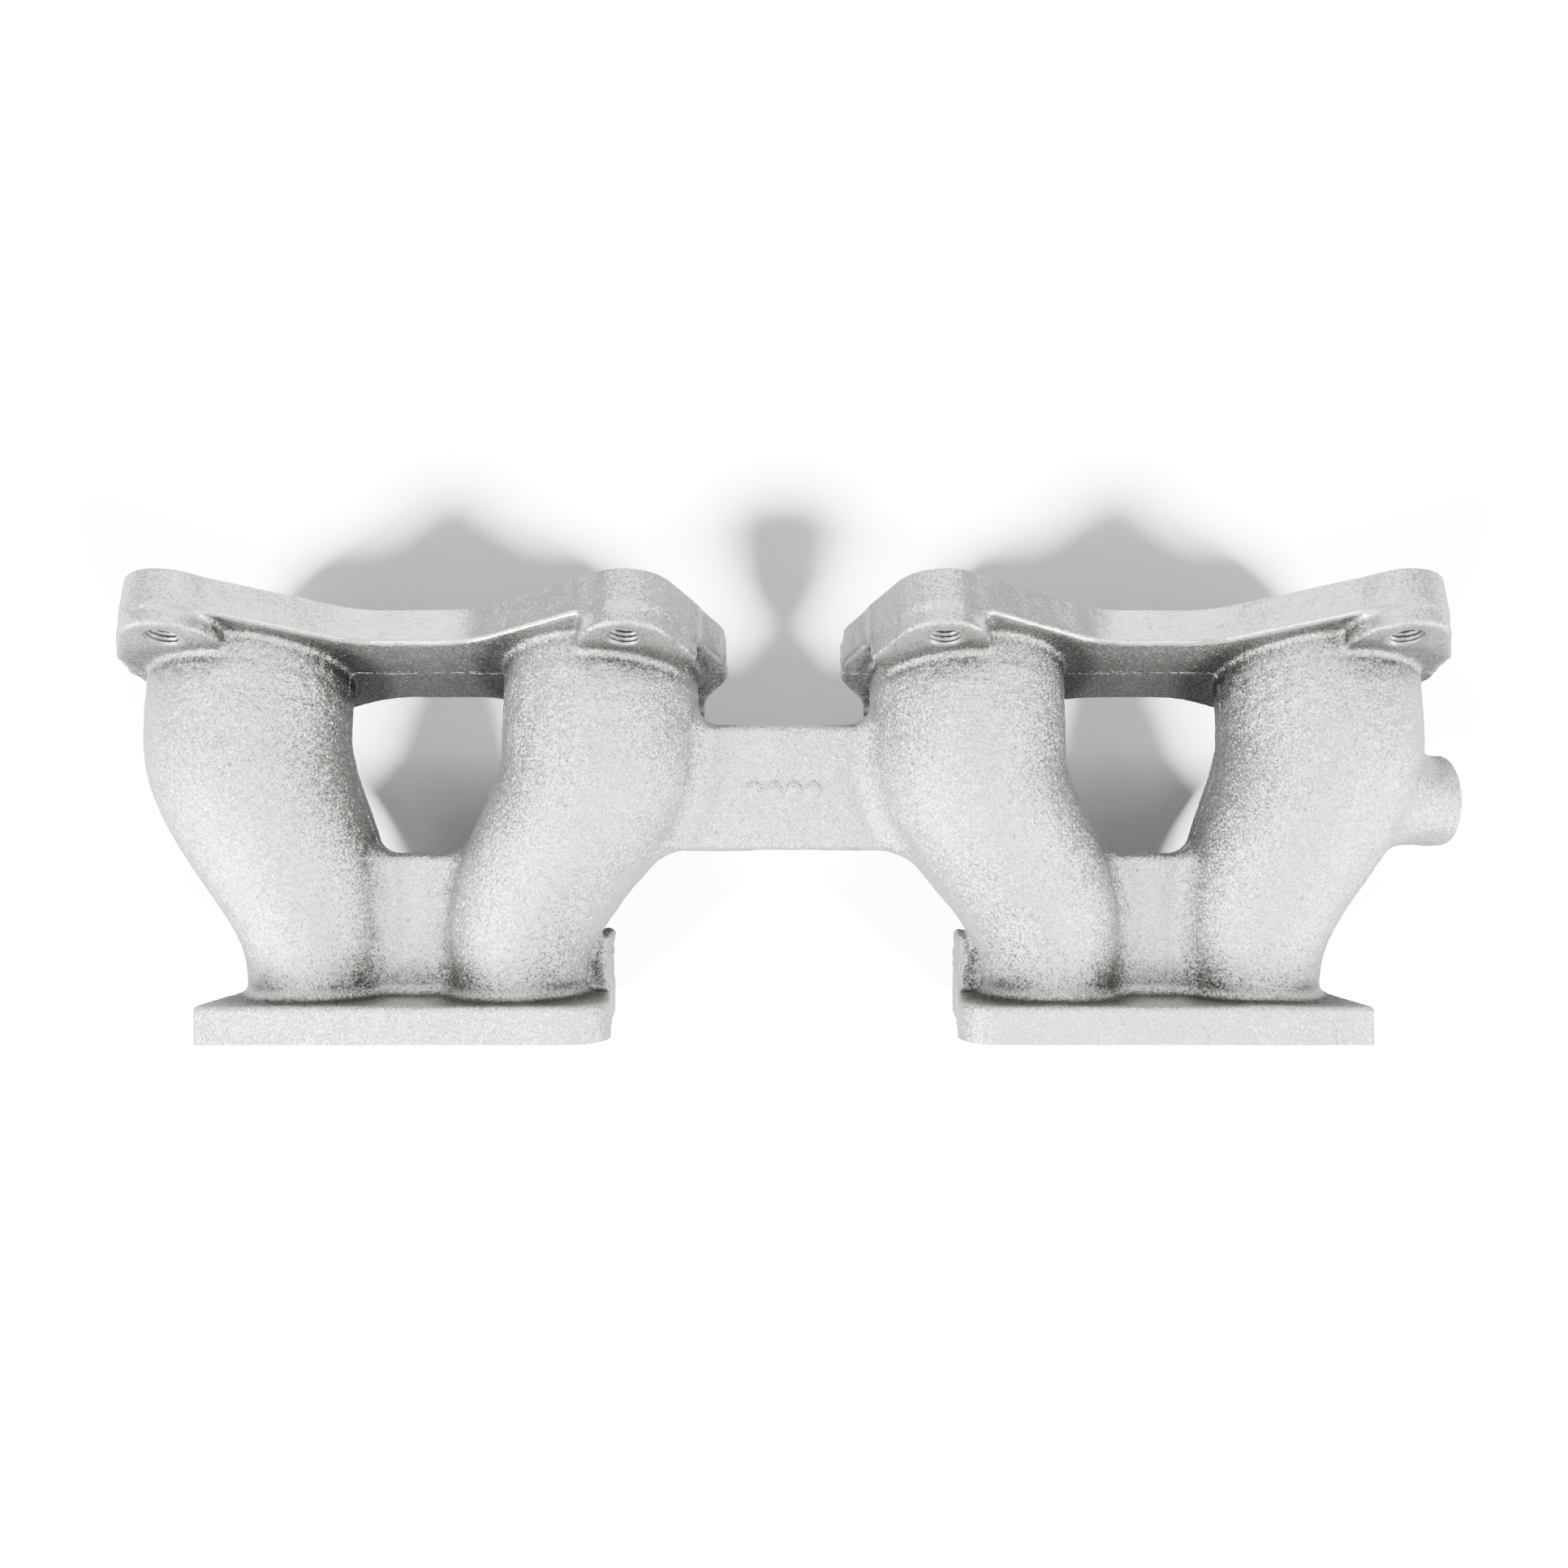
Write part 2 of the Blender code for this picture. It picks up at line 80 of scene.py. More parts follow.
PLATE = 9.2
EAR_PLATE = 14.2
STUD_U, STUD_V = 54.2, 31.0
PAD_U, PAD_V, PAD_RADIUS = 57.5, 25.0, 15.0
THREAD_BORE = 4.2
HEAD_PLATE = 9.3
HEAD_HALF = 50.6
HEAD_LEAN = 8.8
HEAD_TOP = PORT_Z + 25.0
HEAD_HOLE_RADIUS = 4.25
HEAD_HOLE_INSET = 10.5
LUG_X = PAIR_X - HEAD_HALF + 4.2  # the lug's inner side
WEB_HALF = 4.5
STUB_RADIUS = 11.4
STUB_HOLE = 5.9
STUB_HOLE_DEPTH = 13.0
STUB_ROOT_X = 128.0
OVERRUN = 3.0  # how far the raw shape runs on past a machined face before it is cut

WAIST_V = 17.0
BLUNT_END_U = 77.0
WEB_LENGTH = 44.7
BRIDGE_FROM_HEAD = 45.7
BRIDGE_FROM_CARB = 22.5
BRIDGE_HALF = 47.0
LUG_LENGTH, LUG_REACH = 12.4, 23.6
LUG_DROP, LUG_RISE = 16.9, 0.6
PIP_Y, PIP_PITCH, PIP_RADIUS, PIP_HEIGHT = 4.8, 5.0, 1.9, 0.65

PLATE_EDGE = 1.0
PAD_EDGE = 0.8
HEAD_EDGE = 1.2
PAD_FILLET = 1.6
FLANGE_FILLET = 1.8
PAIR_FILLET = 3.0
WEB_FILLET = 4.0
BRIDGE_FILLET = 5.5
HEAD_FILLET = 3.0
LUG_FILLET = 1.8
STUB_FILLET = 5.0

# ---------------------------------------------------------------- shape functions


def smoothstep(low, high, value):
    share = np.clip((value - low) / (high - low), 0, 1)
    return share * share * (3 - 2 * share)


def joined(a, b, radius):
    """Union of two distance fields with a fillet of this radius."""
    near = np.hypot(np.maximum(radius - a, 0), np.maximum(radius - b, 0))
    return np.maximum(radius, np.minimum(a, b)) - near


def common(a, b, radius):
    """Intersection of two distance fields with its edge rounded."""
    near = np.hypot(np.maximum(radius + a, 0), np.maximum(radius + b, 0))
    return np.minimum(-radius, np.maximum(a, b)) + near


SHARES = np.linspace(-0.25, 1.25, 1501)
PATH_Y = BORE_Y - REACH * SHARES
PATH_LIFT = np.where(SHARES < 0, SHARES, SHARES * (1 - SHARES) ** 2) * REACH * TAN_TILT
PATH_Z = BORE_Z + PATH_LIFT + (PORT_Z - BORE_Z) * smoothstep(0, 1, SHARES)
PATH_LEAN = np.where(SHARES <= 0, TAN_TILT, np.gradient(PATH_Z, SHARES) / REACH)
PATH_LEAN_COS = 1 / np.hypot(1, PATH_LEAN)
PATH_TAPER = smoothstep(HEAD_Y + TAPER_FROM_HEAD, BORE_Y - TAPER_FROM_CARB, PATH_Y)


def path_x(outer):
    sign = 1 if outer else -1
    bend = smoothstep(HEAD_Y + BEND_FROM_HEAD, BORE_Y - (OUTER_BEND if outer else INNER_BEND), PATH_Y)
    head_x = PORT_MIDDLE_X + sign * PORT_HALF
    return head_x + (PAIR_X + sign * BORE_HALF - head_x) * bend


PATH_X = {outer: path_x(outer) for outer in (True, False)}
STRETCH = {outer: np.hypot(1, np.gradient(PATH_X[outer], SHARES) / REACH) for outer in (True, False)}


def share_at(y, z):
    """How far along the runners a point lies in side view: 0 at the carburettor face, 1 at the head face."""
    share = (BORE_Y - y) / REACH + 0 * z
    for _ in range(4):
        lean = np.interp(share, SHARES, PATH_LEAN)
        middle = np.interp(share, SHARES, PATH_Z)
        share = (BORE_Y - (y - lean * (z - middle))) / REACH
    return share


ARC_STEPS = 24


def outline_points():
    """A quarter of the carburettor flange's outline, from the waist to the blunt end."""
    ear, blunt = (59.3, 42.4, 11.4), (BLUNT_END_U, 6.2, 15)
    corners = [(0, WAIST_V, 0), (14, WAIST_V, 27), ear, blunt, (BLUNT_END_U, 0, 0)]
    points = [np.array([0.0, WAIST_V])]
    for before, here, after in zip(corners, corners[1:], corners[2:]):
        corner = np.array(here[:2], float)
        radius = here[2]
        back = np.array(before[:2]) - corner
        back = back / np.linalg.norm(back)
        on = np.array(after[:2]) - corner
        on = on / np.linalg.norm(on)
        angle = math.acos(float(back @ on))
        middle = back + on
        centre = corner + middle / np.linalg.norm(middle) * radius / math.sin(angle / 2)
        start = corner + back * radius / math.tan(angle / 2) - centre
        end = corner + on * radius / math.tan(angle / 2) - centre
        for step in range(ARC_STEPS + 1):
            ray = start + (end - start) * step / ARC_STEPS
            points.append(centre + ray / np.linalg.norm(ray) * radius)
    points.append(np.array([BLUNT_END_U, 0.0]))
    return np.array(points)


OUTLINE_STEP = 0.25


def outline_table():
    """Distance to the outline on a grid over one quarter, negative inside."""
    points = outline_points()
    u = np.arange(0, 96, OUTLINE_STEP)[:, None]
    v = np.arange(0, 64, OUTLINE_STEP)[None, :]
    nearest = np.full((u.size, v.size), 1e9)
    crossings = np.zeros((u.size, v.size), int)
    for (x0, y0), (x1, y1) in zip(points, points[1:]):
        dx, dy = x1 - x0, y1 - y0
        along = np.clip(((u - x0) * dx + (v - y0) * dy) / (dx * dx + dy * dy), 0, 1)
        nearest = np.minimum(nearest, np.hypot(u - x0 - along * dx, v - y0 - along * dy))
        if abs(dy) > 1e-9:
            spans = (v >= min(y0, y1)) & (v < max(y0, y1))
            crossings += spans & (u < x0 + (v - y0) / dy * dx)
    # A ray towards +u leaves an inside point through the outline an odd number of times.
    return np.where(crossings % 2 == 1, -nearest, nearest)


OUTLINE = outline_table()


def outline_distance(u, v):
    """Distance to the flange's outline, read from the table between its four nearest points."""
    fu = np.minimum(np.abs(u) / OUTLINE_STEP, OUTLINE.shape[0] - 1.01)
    fv = np.minimum(np.abs(v) / OUTLINE_STEP, OUTLINE.shape[1] - 1.01)
    iu, iv = fu.astype(int), fv.astype(int)
    fu, fv = fu - iu, fv - iv
    low = OUTLINE[iu, iv] * (1 - fv) + OUTLINE[iu, iv + 1] * fv
    high = OUTLINE[iu + 1, iv] * (1 - fv) + OUTLINE[iu + 1, iv + 1] * fv
    return low * (1 - fu) + high * fu


def slab(value, low, high):
    return np.maximum(low - value, value - high)


def box_distance(x, y, z, low, high, radius):
    """A box with its edges rounded."""
    sides = [slab(v, a, b) + radius for v, a, b in zip((x, y, z), low, high)]
    outside = np.sqrt(sum(np.maximum(side, 0) ** 2 for side in sides))
    inside = np.minimum(np.maximum(np.maximum(sides[0], sides[1]), sides[2]), 0)
    return outside + inside - radius


def head_outline(x, z):
    """The head flange in front view: its ends lean in towards the foot, its corners have three radii."""
    along = x - PAIR_X
    up = z - HEAD_TOP / 2
    radius = np.where(up < 0, 10.0, np.where(along > 0, 2.5, 11.0))
    slope = HEAD_LEAN / HEAD_TOP
    ends = (np.abs(along) - HEAD_HALF + (HEAD_TOP - z) * slope) / math.hypot(1, slope)
    qx = ends + radius
    qz = np.abs(up) - HEAD_TOP / 2 + radius
    return np.minimum(np.maximum(qx, qz), 0) + np.hypot(np.maximum(qx, 0), np.maximum(qz, 0)) - radius


LABELS = ["bridge_web", "carb_flange", "ear_pad_upper_outer", "ear_pad_upper_inner",
          "ear_pad_lower_outer", "ear_pad_lower_inner", "head_flange", "runner_outer", "runner_inner",
          "runner_web", "flange_lug", "takeoff_stub"]
RIGHT = 20  # added to the label of a feature on the right half


def shape(signed_x, y, z, with_label=False):
    """Distance field of the whole casting, and on request which feature each point belongs to."""
    x = np.abs(signed_x)
    share = share_at(y, z)
    path_z = np.interp(share, SHARES, PATH_Z)
    lean_cos = np.interp(share, SHARES, PATH_LEAN_COS)
    taper = np.interp(share, SHARES, PATH_TAPER)
    rise = (z - path_z) / lean_cos
    outer_radius = RUNNER_AT_HEAD + (RUNNER_AT_CARB - RUNNER_AT_HEAD) * taper
    inner_radius = PORT_RADIUS + (BORE_RADIUS - PORT_RADIUS) * taper
    runners, bores = {}, {}
    for outer in (True, False):
        across = (x - np.interp(share, SHARES, PATH_X[outer])) / np.interp(share, SHARES, STRETCH[outer])
        away = np.hypot(across, rise)
        runners[outer] = away - outer_radius
        bores[outer] = away - inner_radius

    u = x - PAIR_X
    v = (y - BORE_Y) * SIN_TILT + (z - BORE_Z) * COS_TILT
    w = (BORE_Y - y) * COS_TILT + (z - BORE_Z) * SIN_TILT
    outline = outline_distance(u, v)
    past_ends = np.maximum(-OVERRUN - w, HEAD_Y - OVERRUN - y)
    plate = np.maximum(common(outline, w - PLATE, PLATE_EDGE), -OVERRUN - w)
    zone = np.hypot(np.abs(u) - PAD_U, np.abs(v) - PAD_V) - PAD_RADIUS
    pad = common(common(outline, w - EAR_PLATE, PAD_EDGE), zone, 1.0)
    pad = np.maximum(pad, -OVERRUN - w)
    head = common(head_outline(x, z), y - HEAD_Y - HEAD_PLATE, HEAD_EDGE)
    head = np.maximum(head, HEAD_Y - OVERRUN - y)
    web = box_distance(x, y, z, (PORT_MIDDLE_X - PORT_HALF, HEAD_Y, WEB_Z - WEB_HALF),
                       (PORT_MIDDLE_X + PORT_HALF, HEAD_Y + WEB_LENGTH, WEB_Z + WEB_HALF), 2.0)
    bridge = box_distance(x, y, z, (-BRIDGE_HALF, HEAD_Y + BRIDGE_FROM_HEAD, WEB_Z - WEB_HALF),
                          (BRIDGE_HALF, BORE_Y - BRIDGE_FROM_CARB, WEB_Z + WEB_HALF), 1.8)
    pips = np.hypot(np.abs(x - PIP_PITCH) - PIP_PITCH / 2, y - PIP_Y)
    pip = common(pips - PIP_RADIUS, z - WEB_Z - WEB_HALF - PIP_HEIGHT, 0.6)
    bridge = joined(bridge, np.maximum(pip, WEB_Z - z), 0.6)
    lug = box_distance(x, y, z, (LUG_X, HEAD_Y, PORT_Z - LUG_DROP),
                       (LUG_X + LUG_LENGTH, HEAD_Y + LUG_REACH, PORT_Z + LUG_RISE), 1.4)
    around = np.hypot(y - STUB_Y, z - WEB_Z)
    stub_ends = np.maximum(STUB_ROOT_X - signed_x, signed_x - STUB_END_X - OVERRUN)
    stub = np.maximum(around - STUB_RADIUS, stub_ends)

    both = joined(runners[True], runners[False], PAIR_FILLET)
    both = np.maximum(both, past_ends)
    flange = joined(plate, pad, PAD_FILLET)
    solid = joined(flange, both, FLANGE_FILLET)
    solid = joined(solid, web, WEB_FILLET)
    solid = joined(solid, bridge, BRIDGE_FILLET)
    solid = joined(solid, head, HEAD_FILLET)
    solid = joined(solid, lug, LUG_FILLET)
    solid = joined(solid, stub, STUB_FILLET)
    solid = np.maximum(solid, past_ends)
    solid = np.maximum(solid, -z)

    stud = np.hypot(np.abs(u) - STUD_U, np.abs(v) - STUD_V) - THREAD_BORE
    hole_z = z - HEAD_HOLE_INSET
    inset = HEAD_HALF - HEAD_LEAN - HEAD_HOLE_INSET
    end_hole = np.hypot(np.abs(u) - inset, hole_z)
    middle_hole = np.hypot(x - PORT_MIDDLE_X, hole_z)
    head_hole = np.minimum(end_hole, middle_hole) - HEAD_HOLE_RADIUS
    head_hole = np.maximum(head_hole, y - HEAD_Y - HEAD_PLATE - 6)
    stub_hole = np.maximum(around - STUB_HOLE, STUB_END_X - STUB_HOLE_DEPTH - signed_x)
    holes = np.minimum(np.minimum(bores[True], bores[False]), np.minimum(stud, stub_hole))
    solid = np.maximum(solid, -holes)
    solid = common(solid, -head_hole, 0.5)
    if not with_label:
        return solid

    upper, outward = v > 0, u > 0
    far = 1e6
    scores = np.stack(np.broadcast_arrays(
        bridge + 0 * solid, plate - 1e3 * (w < PLATE + 0.15) * (outline < 6),
        np.where(upper & outward, pad, far), np.where(upper & ~outward, pad, far),
        np.where(~upper & outward, pad, far), np.where(~upper & ~outward, pad, far),
        head - 1e3 * (y < HEAD_Y + HEAD_PLATE + 0.15),
        np.where(runners[True] < 0.3, -50, runners[True]),
        np.where(runners[False] < 0.3, -50, runners[False]),
        web, lug, stub + 0 * solid))
    label = np.argmin(scores, axis=0).astype(np.int16) + 1
    return solid, label


def node_name(label, right):
    """The CAD node that this label stands for, on the left or the right half."""
    name = LABELS[label - 1]
    side = "right" if right else "left"
    if name in ("bridge_web", "takeoff_stub"):
        return name
    if name == "runner_outer":
        return "runner_4" if right else "runner_1"
    if name == "runner_inner":
        return "runner_3" if right else "runner_2"
    if name.startswith("ear_pad_"):
        return name.replace("ear_pad_", "ear_pad_" + side + "_")
    return name + "_" + side


# ---------------------------------------------------------------- from the field to meshes


GRID_X = (-171.0 - VOXEL / 2, 174)
GRID_Y = (HEAD_Y - 4.1, BORE_Y + 24)
GRID_Z = (-1.4, 79)
SLICE = 60  # grid planes worked out at a time


def field_grid():
    """The distance field and the labels on an even grid round the casting."""
    xs, ys, zs = (np.arange(low, high, VOXEL) for low, high in (GRID_X, GRID_Y, GRID_Z))
    value = np.empty((xs.size, ys.size, zs.size), np.float32)
    label = np.empty(value.shape, np.int16)
    for start in range(0, xs.size, SLICE):
        part = slice(start, start + SLICE)
        distance, feature = shape(xs[part, None, None], ys[None, :, None], zs[None, None, :], True)
        right = (xs[part] > 0)[:, None, None] & (feature != LABELS.index("bridge_web") + 1)
        value[part] = distance
        label[part] = np.where(distance < 0, feature + right * RIGHT, 0)
    return xs, ys, zs, value, label


CORNERS = [(i, j, k) for i in (0, 1) for j in (0, 1) for k in (0, 1)]
EDGES = [(a, b) for a in range(8) for b in range(a + 1, 8)
         if sum(abs(p - q) for p, q in zip(CORNERS[a], CORNERS[b])) == 1]


def surface_nets(xs, ys, zs, value, label):
    """Vertices, and for every quad its four vertices and the labels on its two sides."""
    nx, ny, nz = label.shape
    cell = label[:-1, :-1, :-1]
    mixed = np.zeros(cell.shape, bool)
    for i, j, k in CORNERS[1:]:
        mixed |= label[i:nx - 1 + i, j:ny - 1 + j, k:nz - 1 + k] != cell
    where = np.argwhere(mixed)
    number = np.full(cell.shape, -1, np.int32)
    number[mixed] = np.arange(len(where))
    labels = np.stack([label[tuple((where + c).T)] for c in CORNERS])
    values = np.stack([value[tuple((where + c).T)] for c in CORNERS]).astype(float)
    touches_air = (labels == 0).any(axis=0)
    total = np.zeros((len(where), 3))
    count = np.zeros(len(where))
    for a, b in EDGES:
        differ = labels[a] != labels[b]
        air = (labels[a] == 0) != (labels[b] == 0)
        use = np.where(touches_air, air, differ)
        gap = values[a] - values[b]
        at = np.where(air, np.clip(values[a] / np.where(np.abs(gap) < 1e-9, 1, gap), 0.02, 0.98), 0.5)
        start, end = np.array(CORNERS[a], float), np.array(CORNERS[b], float)
        total += use[:, None] * (start + (end - start) * at[:, None])
        count += use
    total /= np.maximum(count, 1)[:, None]
    origin = np.array([xs[0], ys[0], zs[0]])
    vertices = origin + (where + total) * VOXEL

    quads, sides = [], []
    for axis in range(3):
        step = [0, 0, 0]
        step[axis] = 1
        low = label[tuple(slice(0, n - s) for n, s in zip(label.shape, step))]
        high = label[tuple(slice(s, n) for n, s in zip(label.shape, step))]
        at = np.argwhere(low != high)
        b, c = (axis + 1) % 3, (axis + 2) % 3
        at = at[(at[:, b] > 0) & (at[:, c] > 0)]
        keep = (at[:, b] < label.shape[b] - 1) & (at[:, c] < label.shape[c] - 1)
        at = at[keep]
        around = []
        for db, dc in ((-1, -1), (0, -1), (0, 0), (-1, 0)):
            beside = at.copy()
            beside[:, b] += db
            beside[:, c] += dc
            around.append(number[tuple(beside.T)])
        quads.append(np.stack(around, axis=1))
        sides.append(np.stack([low[tuple(at.T)], high[tuple(at.T)]], axis=1))
    return vertices, touches_air, np.concatenate(quads), np.concatenate(sides)


def gradient(points, step=0.02):
    result = np.empty_like(points)
    for axis in range(3):
        shift = np.zeros(3)
        shift[axis] = step
        ahead = shape(*(points + shift).T)
        behind = shape(*(points - shift).T)
        result[:, axis] = (ahead - behind) / (2 * step)
    return result


def relax(vertices, quads, moving, strength):
    """Move vertices towards the middle of their neighbours."""
    total = np.zeros_like(vertices)
    count = np.zeros(len(vertices))
    for a, b in ((0, 1), (1, 2), (2, 3), (3, 0)):
        for p, q in ((quads[:, a], quads[:, b]), (quads[:, b], quads[:, a])):
            for axis in range(3):
                total[:, axis] += np.bincount(p, vertices[q, axis], len(vertices))
            count += np.bincount(p, minlength=len(vertices))
    target = np.where(count[:, None] > 0, total / np.maximum(count, 1)[:, None], vertices)
    vertices[moving] += strength * (target - vertices)[moving]


def project(vertices, moving, limit):
    """Move vertices onto the surface of the distance field, by no more than the limit."""
    points = vertices[moving]
    slope = gradient(points)
    value = shape(*points.T)
    length2 = np.maximum((slope ** 2).sum(axis=1), 0.2)
    move = -value / length2
    length = np.abs(move) * np.sqrt(length2)
    move *= np.minimum(1, limit / np.maximum(length, 1e-9))
    vertices[moving] = points + move[:, None] * slope


def vertex_normals(vertices, quads):
    a, b, c, d = (vertices[quads[:, i]] for i in range(4))
    face = np.cross(c - a, d - b)
    total = np.zeros_like(vertices)
    for i in range(4):
        for axis in range(3):
            total[:, axis] += np.bincount(quads[:, i], face[:, axis], len(vertices))
    return total / np.maximum(np.linalg.norm(total, axis=1), 1e-12)[:, None]


NOISE_CELLS = 40


def noise(points, size, seed):
    """Smooth random field between about -1 and 1; its bumps are about size across."""
    table = np.random.default_rng(SEED + seed).uniform(-1, 1, (NOISE_CELLS,) * 3)
    scaled = points / size
    base = np.floor(scaled).astype(int)
    part = scaled - base
    part = part * part * (3 - 2 * part)
    total = np.zeros(len(points))
    for i, j, k in CORNERS:
        weight = np.abs(1 - i - part[:, 0]) * np.abs(1 - j - part[:, 1]) * np.abs(1 - k - part[:, 2])
        at = (base + (i, j, k)) % NOISE_CELLS
        total += weight * table[tuple(at.T)]
    return total * 1.5


def surface_facts(points):
    """Per vertex: how far each kind of finish applies, and the height over the parting line."""
    x, y, z = points.T
    u = np.abs(x) - PAIR_X
    v = (y - BORE_Y) * SIN_TILT + (z - BORE_Z) * COS_TILT
    w = (BORE_Y - y) * COS_TILT + (z - BORE_Z) * SIN_TILT
    share = share_at(y, z)
    rise = (z - np.interp(share, SHARES, PATH_Z)) / np.interp(share, SHARES, PATH_LEAN_COS)
    outline = outline_distance(u, v)
    on_edge = smoothstep(1.6, 0.5, np.abs(outline)) * smoothstep(EAR_PLATE + 0.3, EAR_PLATE - 1.0, w)
    stud = np.hypot(np.abs(u) - STUD_U, np.abs(v) - STUD_V)
    taper = np.interp(share, SHARES, PATH_TAPER)
    bore = np.full(len(points), 1e9)
    for outer in (True, False):
        across = np.abs(x) - np.interp(share, SHARES, PATH_X[outer])
        across /= np.interp(share, SHARES, STRETCH[outer])
        away = np.hypot(across, rise) - PORT_RADIUS - (BORE_RADIUS - PORT_RADIUS) * taper
        bore = np.minimum(bore, np.abs(away))
    inside = smoothstep(1.2, 0.4, bore)
    corner = smoothstep(14.5, 11.0, np.hypot(np.abs(u) - 62.0, np.abs(v) - 32.0))
    lug = box_distance(np.abs(x), y, z, (LUG_X - 1, HEAD_Y + HEAD_PLATE + 1.5, PORT_Z - 18.0),
                       (LUG_X + 6, HEAD_Y + 25, PORT_Z + 2.0), 1.0)
    flash = smoothstep(7.5, 3.0, np.hypot(np.abs(u) - BLUNT_END_U + 0.5, v))
    peel = smoothstep(15.5, 17.5, w) * smoothstep(40.0, 24.0, w) * (1 - inside)
    zone = np.hypot(np.abs(u) - PAD_U, np.abs(v) - PAD_V) - PAD_RADIUS
    waist = smoothstep(60.0, 46.0, np.abs(u))
    covered = (outline < 0.3) * (1 - inside)
    return {
        "pad_face": smoothstep(0.9, 0.4, np.abs(w - EAR_PLATE)) * covered * (zone < 0.3),
        "plate_face": smoothstep(0.9, 0.4, np.abs(w - PLATE)) * covered * waist,
        "linish": on_edge * (1 - 0.5 * corner) * (1 - inside),
        "rough": np.clip((0.15 * corner + 0.7 * flash) * on_edge + smoothstep(1.0, -0.5, lug), 0, 1),
        "peel": peel,
        "parting": rise,
        "bore": inside,
        "stud": stud,
        "w": w,
        "lug": smoothstep(1.0, -0.5, lug),
        "flash": flash * on_edge,
    }


def cast_relief(points, facts):
    """Height of the casting's own unevenness along the surface normal."""
    relief = 0.10 * noise(points, 17.0, 1) + 0.05 * noise(points, 6.0, 2) + 0.025 * noise(points, 2.3, 3)
    relief += facts["peel"] * 0.10 * noise(points, 3.1, 4)
    relief += facts["lug"] * (0.30 * noise(points, 3.4, 5) + 0.22 * noise(points, 1.7, 6) - 0.2)
    relief += facts["rough"] * 0.05 * noise(points, 1.8, 7)
    relief += facts["flash"] * 0.35 * noise(points, 3.0, 8)
    ridge = smoothstep(1.0, 0.15, np.abs(facts["parting"] + 0.3 * noise(points, 14.0, 9)))
    broken = smoothstep(-0.5, 0.3, noise(points, 5.5, 10))
    relief += 0.30 * ridge * broken * (1 - facts["bore"]) * smoothstep(0.5, 2.0, facts["w"])
    calm = smoothstep(5.4, 6.6, facts["stud"])
    return np.clip(relief, -0.6, 0.7) * calm


def painted_shade_at(points, outward):
    """How shut in a point is, used for painted shade in corners and creases: 0 in the open, towards 1 in a
    corner.
    """
    shut = np.zeros(len(points))
    for reach, weight in ((3.5, 0.5), (11.0, 0.5), (24.0, 0.3)):
        shut += weight * (1 - np.clip(shape(*(points + outward * reach).T) / reach, 0, 1))
    return shut


def piece_arrays(name_labels, vertices, quads, sides):
    """Quads of one piece with their outward order, and whether each lies on the outside."""
    first = np.isin(sides[:, 0], name_labels) & ~np.isin(sides[:, 1], name_labels)
    second = np.isin(sides[:, 1], name_labels) & ~np.isin(sides[:, 0], name_labels)
    own = np.concatenate([quads[first], quads[second][:, ::-1]])
    outside = np.concatenate([sides[first, 1] == 0, sides[second, 0] == 0])
    used, inverse = np.unique(own, return_inverse=True)
    return used, inverse.reshape(own.shape), outside


def cap(bm, point, outward):
    """Cut a piece off at a machined face and close it with flat faces of the second material."""
    everything = bm.verts[:] + bm.edges[:] + bm.faces[:]
    cut = bmesh.ops.bisect_plane(bm, geom=everything, dist=1e-7, plane_co=point, plane_no=outward,
                                 clear_outer=True)
    edges = [e for e in cut["geom_cut"] if isinstance(e, bmesh.types.BMEdge)]
    filled = bmesh.ops.triangle_fill(bm, edges=edges, use_beauty=True, normal=outward)
    area = 0.0
    for face in filled["geom"]:
        if isinstance(face, bmesh.types.BMFace):
            if face.normal.dot(outward) < 0:
                face.normal_flip()
            face.material_index = 1
            area += face.calc_area()
    return area


ATTRIBUTES = ("linish", "rough", "peel", "parting", "bore", "painted_shade")


